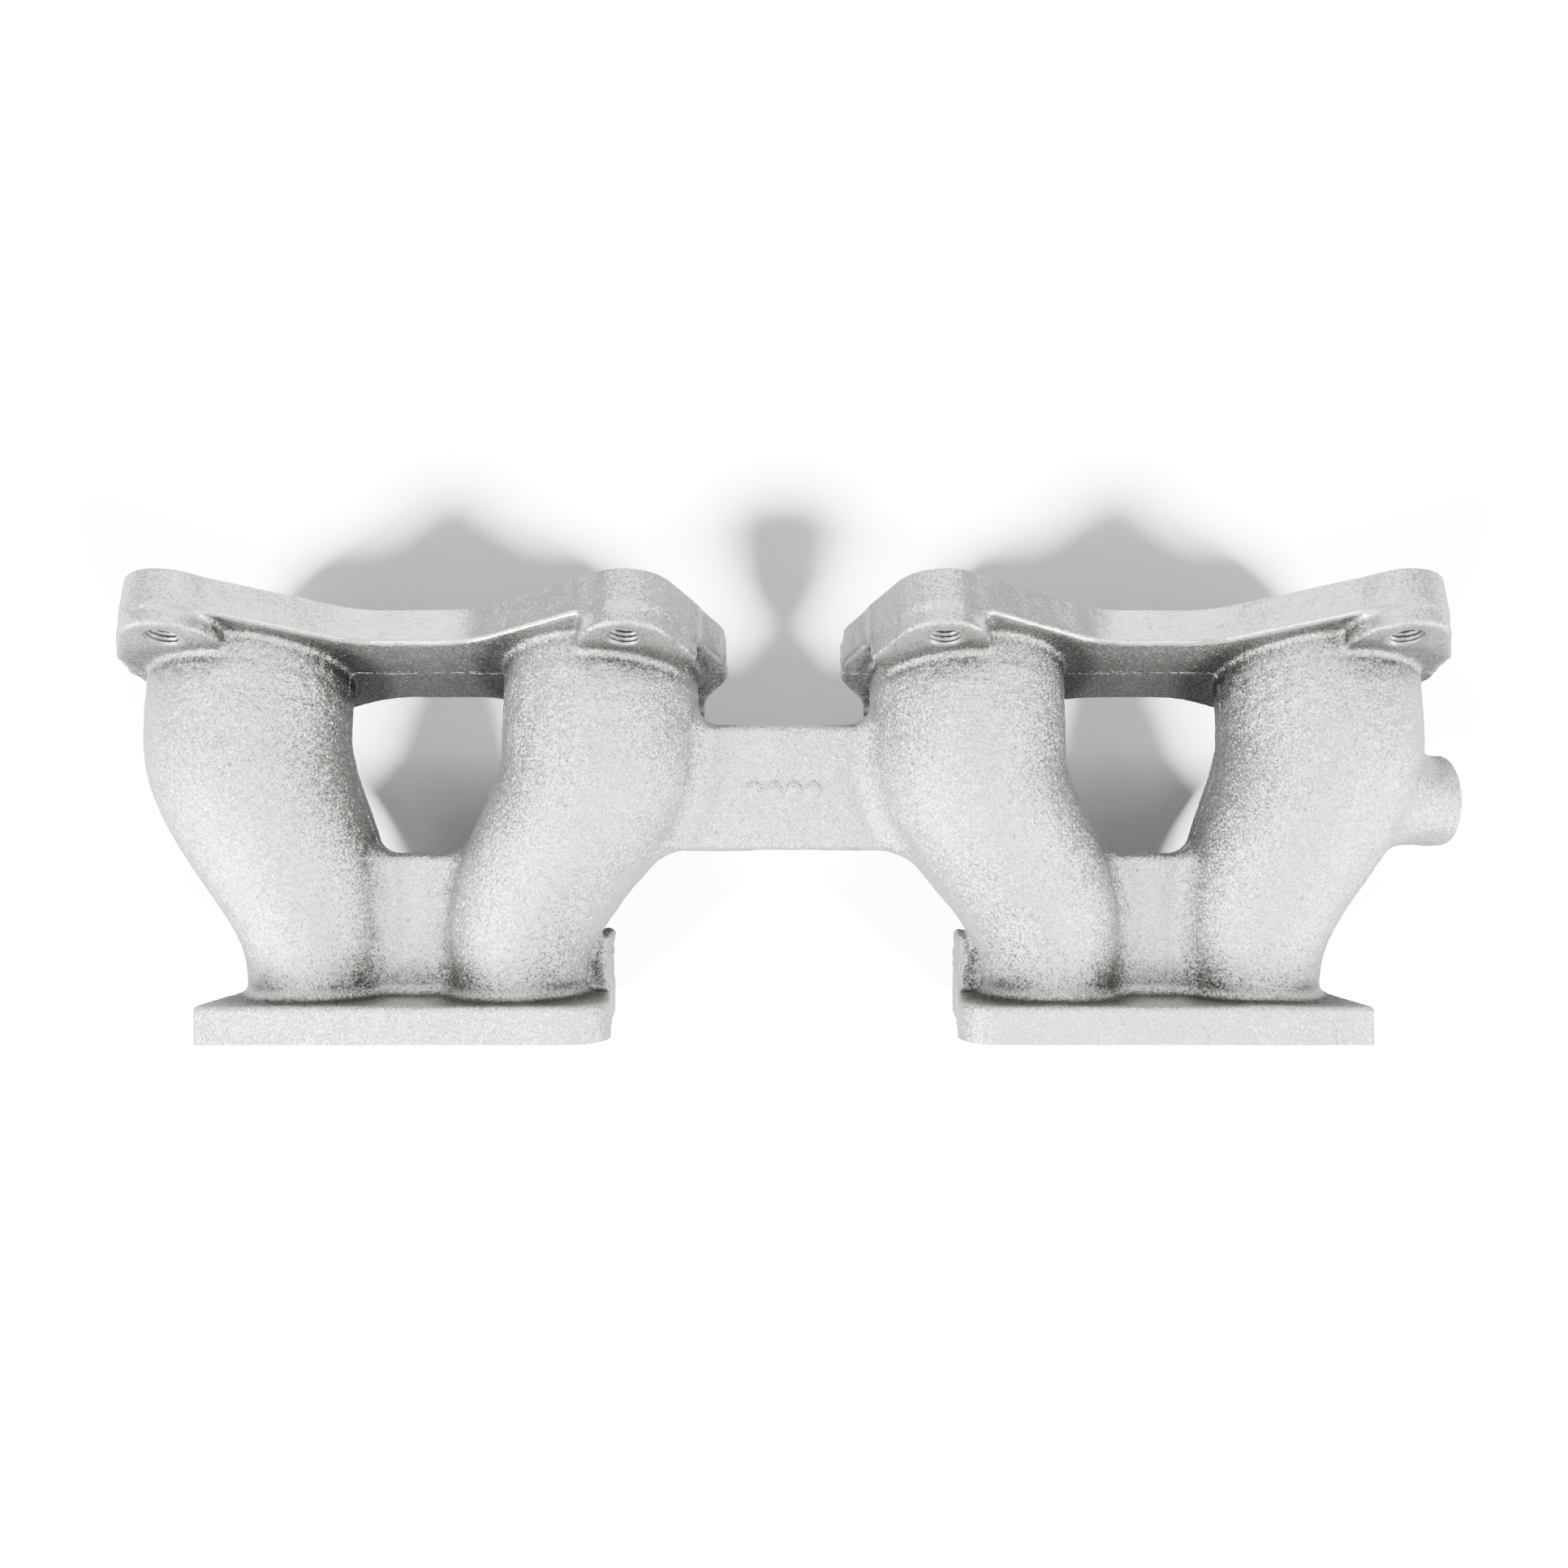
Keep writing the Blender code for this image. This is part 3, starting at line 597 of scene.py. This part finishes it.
def make_piece(name, arrays, vertices, normals, facts, materials, cuts):
    """One closed piece; it is smooth outside and flat on its machined faces and seams."""
    used, faces, outside = arrays
    data = bpy.data.meshes.new(name)
    data.vertices.add(len(used))
    data.vertices.foreach_set("co", (vertices[used] * MM).ravel())
    data.loops.add(faces.size)
    data.loops.foreach_set("vertex_index", faces.ravel().astype(np.int32))
    data.polygons.add(len(faces))
    data.polygons.foreach_set("loop_start", np.arange(0, faces.size, 4, dtype=np.int32))
    for material in materials:
        data.materials.append(material)
    data.polygons.foreach_set("material_index", np.where(outside, 0, 2).astype(np.int32))
    data.update(calc_edges=True)
    for key in ATTRIBUTES:
        fact = data.attributes.new(key, "FLOAT", "POINT")
        fact.data.foreach_set("value", facts[key][used].astype(np.float32))
    kept = data.attributes.new("shade", "FLOAT_VECTOR", "POINT")
    kept.data.foreach_set("vector", normals[used].ravel().astype(np.float32))
    if cuts:
        bm = bmesh.new()
        bm.from_mesh(data)
        for point, outward in cuts:
            area = cap(bm, Vector(point) * MM, Vector(outward))
            print("capped", name, round(area * 1e6, 1), "mm2")
        bm.to_mesh(data)
        bm.free()
    count = len(data.vertices)
    shade = np.empty(count * 3, np.float32)
    data.attributes["shade"].data.foreach_get("vector", shade)
    shade = shade.reshape(-1, 3)
    loops = np.empty(len(data.loops), np.int32)
    data.loops.foreach_get("vertex_index", loops)
    start = np.empty(len(data.polygons), np.int32)
    data.polygons.foreach_get("loop_start", start)
    index = np.empty(len(data.polygons), np.int32)
    data.polygons.foreach_get("material_index", index)
    flat = np.empty(len(data.polygons) * 3, np.float32)
    data.polygons.foreach_get("normal", flat)
    flat = flat.reshape(-1, 3)
    owner = np.repeat(np.arange(len(start)), np.diff(np.append(start, len(loops))))
    loop_normals = np.where((index[owner] == 0)[:, None], shade[loops], flat[owner])
    data.polygons.foreach_set("material_index", np.where(index == 1, 1, 0).astype(np.int32))
    data.polygons.foreach_set("use_smooth", np.ones(len(start), bool))
    data.normals_split_custom_set(loop_normals.tolist())
    data.attributes.remove(data.attributes["shade"])
    piece = bpy.data.objects.new(name, data)
    bpy.context.scene.collection.objects.link(piece)
    return piece


# ---------------------------------------------------------------- materials


class Nodes:
    """Short ways to add and connect the nodes of one material."""

    def __init__(self, name):
        self.material = bpy.data.materials.new(name)
        self.material.use_nodes = True
        self.tree = self.material.node_tree
        self.shader = self.tree.nodes["Principled BSDF"]
        coordinates = self.tree.nodes.new("ShaderNodeTexCoord")
        self.mm = self.vector("SCALE", coordinates.outputs["Object"], 1 / MM)

    def put(self, socket, value):
        if isinstance(value, bpy.types.NodeSocket):
            self.tree.links.new(value, socket)
        else:
            socket.default_value = value

    def vector(self, operation, first, second):
        node = self.tree.nodes.new("ShaderNodeVectorMath")
        node.operation = operation
        self.put(node.inputs[0], first)
        self.put(node.inputs["Scale"] if operation == "SCALE" else node.inputs[1], second)
        return node.outputs[0]

    def math(self, operation, first, second=0.0, third=0.0):
        node = self.tree.nodes.new("ShaderNodeMath")
        node.operation = operation
        for socket, value in zip(node.inputs, (first, second, third)):
            self.put(socket, value)
        return node.outputs[0]

    def attribute(self, name):
        node = self.tree.nodes.new("ShaderNodeAttribute")
        node.attribute_name = name
        return node.outputs["Fac"]

    def noise(self, scale, detail=3.0, roughness=0.55, at=None, distortion=0.0):
        node = self.tree.nodes.new("ShaderNodeTexNoise")
        self.put(node.inputs["Vector"], self.mm if at is None else at)
        node.inputs["Scale"].default_value = scale
        node.inputs["Detail"].default_value = detail
        node.inputs["Roughness"].default_value = roughness
        node.inputs["Distortion"].default_value = distortion
        return node.outputs["Fac"]

    def cells(self, scale):
        node = self.tree.nodes.new("ShaderNodeTexVoronoi")
        self.put(node.inputs["Vector"], self.mm)
        node.inputs["Scale"].default_value = scale
        return node.outputs["Color"]

    def fit(self, value, low, high, to_low, to_high):
        node = self.tree.nodes.new("ShaderNodeMapRange")
        keys = ("Value", "From Min", "From Max", "To Min", "To Max")
        for key, number in zip(keys, (value, low, high, to_low, to_high)):
            self.put(node.inputs[key], number)
        return node.outputs["Result"]

    def add(self, *values):
        total = values[0]
        for value in values[1:]:
            total = self.math("ADD", total, value)
        return total

    def times(self, *values):
        total = values[0]
        for value in values[1:]:
            total = self.math("MULTIPLY", total, value)
        return total

    def grey(self, value, warm=0.965):
        node = self.tree.nodes.new("ShaderNodeCombineColor")
        self.put(node.inputs["Red"], value)
        self.put(node.inputs["Green"], value)
        self.put(node.inputs["Blue"], self.math("MULTIPLY", value, warm))
        return node.outputs["Color"]

    def relief(self, height, facets, amount):
        """Bump from a height in millimetres, then tiny facets that catch the light."""
        bump = self.tree.nodes.new("ShaderNodeBump")
        bump.inputs["Distance"].default_value = MM
        self.put(bump.inputs["Height"], height)
        centred = self.vector("SUBTRACT", facets, (0.5, 0.5, 0.5))
        tilted = self.vector("ADD", bump.outputs["Normal"], self.vector("SCALE", centred, amount))
        normal = self.tree.nodes.new("ShaderNodeVectorMath")
        normal.operation = "NORMALIZE"
        self.put(normal.inputs[0], tilted)
        return normal.outputs[0]


def cast_material(name, shade, roughness, grain):
    """Blasted sand casting; the mesh's attributes say where it is linished, rough, wrinkled or a bore, and
    how much shade is painted into its colour.
    """
    n = Nodes(name)
    linish, rough = n.attribute("linish"), n.attribute("rough")
    peel, parting, bore = n.attribute("peel"), n.attribute("parting"), n.attribute("bore")
    painted_shade = n.attribute("painted_shade")
    plain = n.math("SUBTRACT", 1.0, linish)
    fine = n.noise(1.9, 4.0, 0.65)
    coarse = n.noise(0.62, 3.0, 0.6)
    skin = n.noise(0.24, 3.0, 0.5, distortion=0.4)
    wide = n.noise(0.045, 3.0, 0.5)
    pits = n.fit(n.noise(0.55, 2.0, 0.5), 0.69, 0.76, 0.0, 1.0)
    stretched = n.vector("MULTIPLY", n.mm, (0.12, 1.0, 1.0))
    brushed = n.noise(3.2, 3.0, 0.6, at=stretched)
    wrinkled = n.noise(0.55, 3.0, 0.55, at=n.vector("MULTIPLY", n.mm, (0.35, 1.0, 1.0)), distortion=0.8)
    wave = n.math("ABSOLUTE", n.add(parting, n.fit(n.noise(0.07, 2.0), 0, 1, -0.5, 0.5)))
    dashes = n.fit(n.noise(0.32, 2.0, 0.6), 0.40, 0.55, 0.15, 1.0)
    ridge = n.times(n.fit(wave, 0.10, 0.62, 1.0, 0.0), dashes, n.math("SUBTRACT", 1.0, bore))
    height = n.add(
        n.times(fine, plain, n.fit(rough, 0, 1, 0.15 * grain, 0.36)),
        n.times(coarse, n.fit(rough, 0, 1, 0.06 * grain, 0.7)),
        n.times(skin, 0.14),
        n.times(wrinkled, peel, 0.42),
        n.times(brushed, linish, 0.045),
        n.times(ridge, 0.30),
        n.times(pits, plain, -0.16),
    )
    sparkle = n.add(n.fit(rough, 0, 1, 0.66 * grain, 1.1), n.times(linish, -0.48))
    n.put(n.shader.inputs["Normal"], n.relief(height, n.cells(2.7), sparkle))
    tone = n.add(
        n.fit(wide, 0.3, 0.7, shade - 0.03, shade + 0.03),
        n.times(n.fit(fine, 0.3, 0.7, -0.17, 0.17), plain),
        n.fit(coarse, 0.3, 0.7, -0.025, 0.025),
        n.times(ridge, 0.10),
        n.times(linish, 0.03),
        n.times(pits, -0.20),
        n.times(bore, -0.08),
    )
    # Painted shade: the base colour is darkened where the point is shut in, in corners and creases, and on
    # the flat pad and plate faces.
    painted_corner_shade = n.fit(painted_shade, 0.06, 0.66, 1.0, 0.25)
    n.put(n.shader.inputs["Base Color"], n.grey(n.times(tone, painted_corner_shade)))
    n.shader.inputs["Metallic"].default_value = 0.92
    grainy = n.fit(fine, 0.3, 0.7, roughness - 0.05, roughness + 0.06)
    gloss = n.add(grainy, n.times(linish, -0.12), n.times(rough, -0.06))
    n.put(n.shader.inputs["Roughness"], gloss)
    return n.material


def machined_material(name, direction, shade):
    """A faced surface: fine cutter lines and a few stains."""
    n = Nodes(name)
    lines = n.noise(2.6, 3.0, 0.6, at=n.vector("MULTIPLY", n.mm, direction))
    broad = n.noise(0.30, 2.0, 0.5, at=n.vector("MULTIPLY", n.mm, direction))
    stains = n.noise(0.05, 4.0, 0.6)
    fine = n.noise(3.0, 3.0, 0.6)
    height = n.add(n.times(lines, 0.035), n.times(broad, 0.03), n.times(fine, 0.012))
    n.put(n.shader.inputs["Normal"], n.relief(height, n.cells(3.1), 0.05))
    tone = n.add(n.fit(stains, 0.3, 0.7, shade - 0.05, shade + 0.05), n.fit(lines, 0.3, 0.7, -0.03, 0.03))
    n.put(n.shader.inputs["Base Color"], n.grey(tone))
    n.shader.inputs["Metallic"].default_value = 0.97
    gloss = n.add(n.fit(stains, 0.3, 0.7, 0.36, 0.28), n.fit(lines, 0.3, 0.7, -0.03, 0.04))
    n.put(n.shader.inputs["Roughness"], gloss)
    return n.material


# ---------------------------------------------------------------- threads


def thread_piece(name, start, axis, depth, minor, major, pitch, wall, collar, material, blind=False):
    """The tapped wall of a hole: a helical thread with a chamfered mouth at the end of its depth."""
    turns, per_pitch = 56, 12
    rows = int(depth / pitch * per_pitch)
    level = np.linspace(0, depth, rows + 1)[:, None]
    angle = (np.arange(turns) / turns)[None, :]
    phase = (level / pitch - angle) % 1.0
    tooth = np.clip(np.abs(phase - 0.5) * 2.6 - 0.55, 0, 1)
    radius = major - (major - minor) * tooth
    mouth = major + 0.12
    radius = np.maximum(radius, mouth - np.maximum(depth - level, 0) * 0.9)
    if not blind:
        radius = np.maximum(radius, mouth - np.maximum(level, 0) * 0.9)
    along = Vector(axis).normalized()
    first = along.orthogonal().normalized()
    second = along.cross(first)
    axes = np.array([first[:], second[:], along[:]])
    spin = angle * 2 * math.pi

    def ring(radii, heights):
        radii, heights, turned_by = np.broadcast_arrays(radii, heights, spin)
        local = np.stack([radii * np.cos(turned_by), radii * np.sin(turned_by), heights], axis=-1)
        return np.array(start) + local @ axes

    outer_levels = np.array([[depth], [depth - 1.2], [depth - 1.2], [0.0]])
    outer_radii = np.array([[collar], [collar], [wall], [wall]])
    points = np.concatenate([ring(radius, level), ring(outer_radii, outer_levels)])
    total = len(points)
    faces = []
    for row in range(total):
        following = (row + 1) % total
        for turn in range(turns):
            after = (turn + 1) % turns
            faces.append((row * turns + turn, following * turns + turn,
                          following * turns + after, row * turns + after))
    bm = bmesh.new()
    verts = [bm.verts.new(p * MM) for p in points.reshape(-1, 3)]
    for face in faces:
        made = bm.faces.new([verts[i] for i in face])
        made.smooth = True
    if blind:
        bottom = ring(np.full((1, 1), minor - 0.2), np.full((1, 1), 0.05))[0]
        bm.faces.new([bm.verts.new(p * MM) for p in bottom])
    bmesh.ops.recalc_face_normals(bm, faces=bm.faces)
    for edge in bm.edges:
        if len(edge.link_faces) == 2 and edge.calc_face_angle() > math.radians(40):
            edge.smooth = False
    data = bpy.data.meshes.new(name)
    bm.to_mesh(data)
    bm.free()
    data.materials.append(material)
    piece = bpy.data.objects.new(name, data)
    bpy.context.scene.collection.objects.link(piece)
    return piece


# ---------------------------------------------------------------- build the pieces

xs, ys, zs, value, label = field_grid()
vertices, outer, quads, sides = surface_nets(xs, ys, zs, value, label)
outer_quads = quads[(sides == 0).any(axis=1)]
flipped = sides[(sides == 0).any(axis=1), 0] == 0
outer_quads[flipped] = outer_quads[flipped][:, ::-1]
for strength in (0.6, 0.4):
    relax(vertices, outer_quads, outer, strength)
    project(vertices, outer, 0.8)
project(vertices, outer, 0.5)
facts = surface_facts(vertices)
smooth_normals = vertex_normals(vertices, outer_quads)
relief = cast_relief(vertices, facts)
vertices[outer] += (smooth_normals * relief[:, None])[outer]
vertices[outer, 2] = np.maximum(vertices[outer, 2], 0)  # nothing sinks into the floor
normals = vertex_normals(vertices, outer_quads)
# Painted shade: the shut-in measure, plus more painted shade on the flat pad and plate faces.
facts["painted_shade"] = painted_shade_at(vertices, normals) + 0.22 * facts["pad_face"] + 0.20 * facts["plate_face"]
print("grid", label.shape, "vertices", len(vertices), "quads", len(quads))

cast = cast_material("cast_blasted", 0.49, 0.28, 1.0)
cast_flange = cast_material("cast_flange", 0.50, 0.29, 0.9)
cast_rough = cast_material("cast_rough", 0.45, 0.34, 1.3)
faced = machined_material("faced_gasket", (1.0, 0.08, 0.08), 0.55)
turned = machined_material("turned_end", (0.1, 1.0, 1.0), 0.55)
# Painted shade: the tapped hole walls get a darker base colour (0.30) than the other machined faces, for the
# shade inside the holes.
tapped = machined_material("tapped_wall_painted_shade", (0.6, 0.6, 1.0), 0.30)

FACE_OUTWARD = (0, COS_TILT, -SIN_TILT)
by_node = {}
for index in range(1, len(LABELS) + 1):
    for right in (False, True):
        by_node.setdefault(node_name(index, right), set()).add(index + (RIGHT if right else 0))
by_node["bridge_web"] = {LABELS.index("bridge_web") + 1}
for node, wanted in sorted(by_node.items()):
    wanted = sorted(wanted)
    look, slot = cast, "blasted_cast_aluminium"
    cuts, second = [], faced
    if node.startswith(("carb_flange", "ear_pad")):
        look, slot = cast_flange, "linished_cast_aluminium"
    if node.startswith("carb_flange"):
        cuts = [((0, BORE_Y, BORE_Z), FACE_OUTWARD)]
    if node.startswith("head_flange"):
        look, slot = cast_flange, "flange_cast_aluminium"
        cuts = [((0, HEAD_Y, 0), (0, -1, 0))]
    if node.startswith("flange_lug"):
        look, slot = cast_rough, "rough_cast_aluminium"
    if node == "takeoff_stub":
        cuts, second = [((STUB_END_X, 0, 0), (1, 0, 0))], turned
    arrays = piece_arrays(wanted, vertices, quads, sides)
    piece = make_piece("casting_" + node, arrays, vertices, normals, facts, (look, second), cuts)
    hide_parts(node)
    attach(piece, "root")
    print(node, len(piece.data.polygons))

THREAD_INSET = 0.02  # so that no thread shares a plane with the face it opens in
for side_name, side in (("left", -1), ("right", 1)):
    for v_name, v_sign in (("upper", 1), ("lower", -1)):
        for u_name, u_sign in (("outer", 1), ("inner", -1)):
            along_v = v_sign * STUD_V
            start = (side * (PAIR_X + u_sign * STUD_U),
                     BORE_Y + along_v * SIN_TILT - THREAD_INSET * COS_TILT,
                     BORE_Z + along_v * COS_TILT + THREAD_INSET * SIN_TILT)
            thread = thread_piece("stud_thread_" + side_name + "_" + v_name + "_" + u_name, start,
                                  (0, -COS_TILT, SIN_TILT), EAR_PLATE + 2 * THREAD_INSET,
                                  3.35, 3.95, 1.25, 4.3, 5.0, tapped)
            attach(thread, "root")
stub_thread = thread_piece("takeoff_thread", (STUB_END_X - STUB_HOLE_DEPTH + 0.4, STUB_Y, WEB_Z), (1, 0, 0),
                           STUB_HOLE_DEPTH - 0.42, 5.05, 5.75, 1.34, 6.05, 6.05, tapped, blind=True)
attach(stub_thread, "root")

# ---------------------------------------------------------------- floor, light and camera


def floor_material():
    n = Nodes("pale_floor")
    mottle = n.noise(0.02, 3.0, 0.5)
    n.put(n.shader.inputs["Base Color"], n.grey(n.fit(mottle, 0.3, 0.7, 0.118, 0.124), 1.0))
    n.put(n.shader.inputs["Roughness"], n.fit(mottle, 0.3, 0.7, 0.85, 0.9))
    return n.material


def bounce_material():
    """Painted light and shade on the floor the metal reflects: bright beside the part and between its two
    halves, and painted shade under them.
    """
    n = Nodes("bounce_floor_painted_light_and_shade")
    split = n.tree.nodes.new("ShaderNodeSeparateXYZ")
    n.put(split.inputs[0], n.mm)
    away = n.math("ABSOLUTE", split.outputs["X"])
    # Painted light: the floor colour is lighter beside the part and between its halves; painted shade: darker
    # under the part.
    beside = n.fit(away, 165, 290, 0.0, 0.65)
    between = n.fit(away, 25, 55, 0.40, 0.0)
    mottle = n.noise(0.02, 3.0, 0.5)
    under = n.fit(mottle, 0.3, 0.7, 0.15, 0.17)
    n.put(n.shader.inputs["Base Color"], n.grey(n.add(under, beside, between), 1.0))
    n.put(n.shader.inputs["Roughness"], n.fit(mottle, 0.3, 0.7, 0.85, 0.9))
    return n.material


def floor_piece(name, height, material):
    data = bpy.data.meshes.new(name)
    data.from_pydata([(-4, -4, height), (4, -4, height), (4, 4, height), (-4, 4, height)], [], [(0, 1, 2, 3)])
    data.materials.append(material)
    made = bpy.data.objects.new(name, data)
    bpy.context.scene.collection.objects.link(made)
    return made


# The camera sees the upper floor, which the wash lights; the metal only reflects the lower, unwashed one.
floor = floor_piece("floor", 0.0, floor_material())
floor.visible_diffuse = floor.visible_glossy = floor.visible_shadow = False
bounce = floor_piece("floor_bounce", -0.0004, bounce_material())
bounce.visible_camera = False


def area_light(name, place, target, size, power, size_y=None):
    lamp = bpy.data.lights.new(name, "AREA")
    lamp.shape = "RECTANGLE"
    lamp.size = size
    lamp.size_y = size_y or size
    lamp.energy = power
    made = bpy.data.objects.new(name, lamp)
    made.location = place
    made.rotation_euler = (Vector(target) - Vector(place)).to_track_quat("-Z", "Y").to_euler()
    bpy.context.scene.collection.objects.link(made)
    return made


WASHES = (
    ("wash_left", (-1.25, -1.0, 1.7), 6900.0),
    ("wash_right", (1.25, -1.0, 1.7), 6900.0),
    ("back_wash", (0.0, 1.6, 1.05), 180.0),
)
WASH_SIZE = 0.62
floor_only = bpy.data.collections.new("lit_floor")
floor_only.objects.link(floor)
for name, place, power in WASHES:
    wash = area_light(name, place, (0, 0, 0), WASH_SIZE, power)
    wash.light_linking.receiver_collection = floor_only

# Name, place, width, power and, for a strip, its other side; metres and watts.
LAMPS = (
    ("front", (0.0, -1.2, 0.45), 2.0, 9.0, 0.4),
    ("left", (-1.0, -0.70, 0.5), 0.5, 46.0, None),
    ("right", (1.1, -0.55, 0.45), 0.5, 26.0, None),
    ("left_strip", (-0.75, 0.0, 0.85), 0.30, 9.0, 1.3),
    ("right_strip", (0.75, 0.0, 0.85), 0.30, 7.0, 1.3),
    ("crest", (-0.34, -0.46, 1.0), 0.22, 9.0, None),
    ("crest_right", (0.40, -0.42, 1.0), 0.2, 3.0, None),
    ("back_strip", (0.0, 0.75, 0.8), 1.6, 5.0, 0.3),
)
PART_MIDDLE = (0, 0, 0.03)
for name, place, width, power, height in LAMPS:
    area_light(name, place, PART_MIDDLE, width, power, height)


def studio_world():
    """A light tent: brightest overhead, dimmer low down all round."""
    made = bpy.data.worlds.new("studio")
    made.use_nodes = True
    tree = made.node_tree
    split = tree.nodes.new("ShaderNodeSeparateXYZ")
    tree.links.new(tree.nodes.new("ShaderNodeTexCoord").outputs["Generated"], split.inputs[0])
    height = tree.nodes.new("ShaderNodeMapRange")
    height.interpolation_type = "SMOOTHSTEP"
    for key, number in (("From Min", 0.1), ("From Max", 0.9), ("To Min", 0.6), ("To Max", 2.3)):
        height.inputs[key].default_value = number
    tree.links.new(split.outputs["Z"], height.inputs["Value"])
    tree.links.new(height.outputs["Result"], tree.nodes["Background"].inputs["Strength"])
    tree.nodes["Background"].inputs["Color"].default_value = (1.0, 1.0, 0.985, 1)
    return made


bpy.context.scene.world = studio_world()

CAMERA_ABOVE = 335.0  # over the bore centres, looking straight down
CAMERA_FROM_BORES = 37.5
camera_data = bpy.data.cameras.new("camera")
camera_data.sensor_width = 36.0
camera_data.lens = 29.441
camera = bpy.data.objects.new("camera", camera_data)
camera.location = (0, (BORE_Y - CAMERA_FROM_BORES) * MM, (BORE_Z + CAMERA_ABOVE) * MM)
camera.rotation_euler = (0, 0, 0)
bpy.context.scene.collection.objects.link(camera)
bpy.context.scene.camera = camera
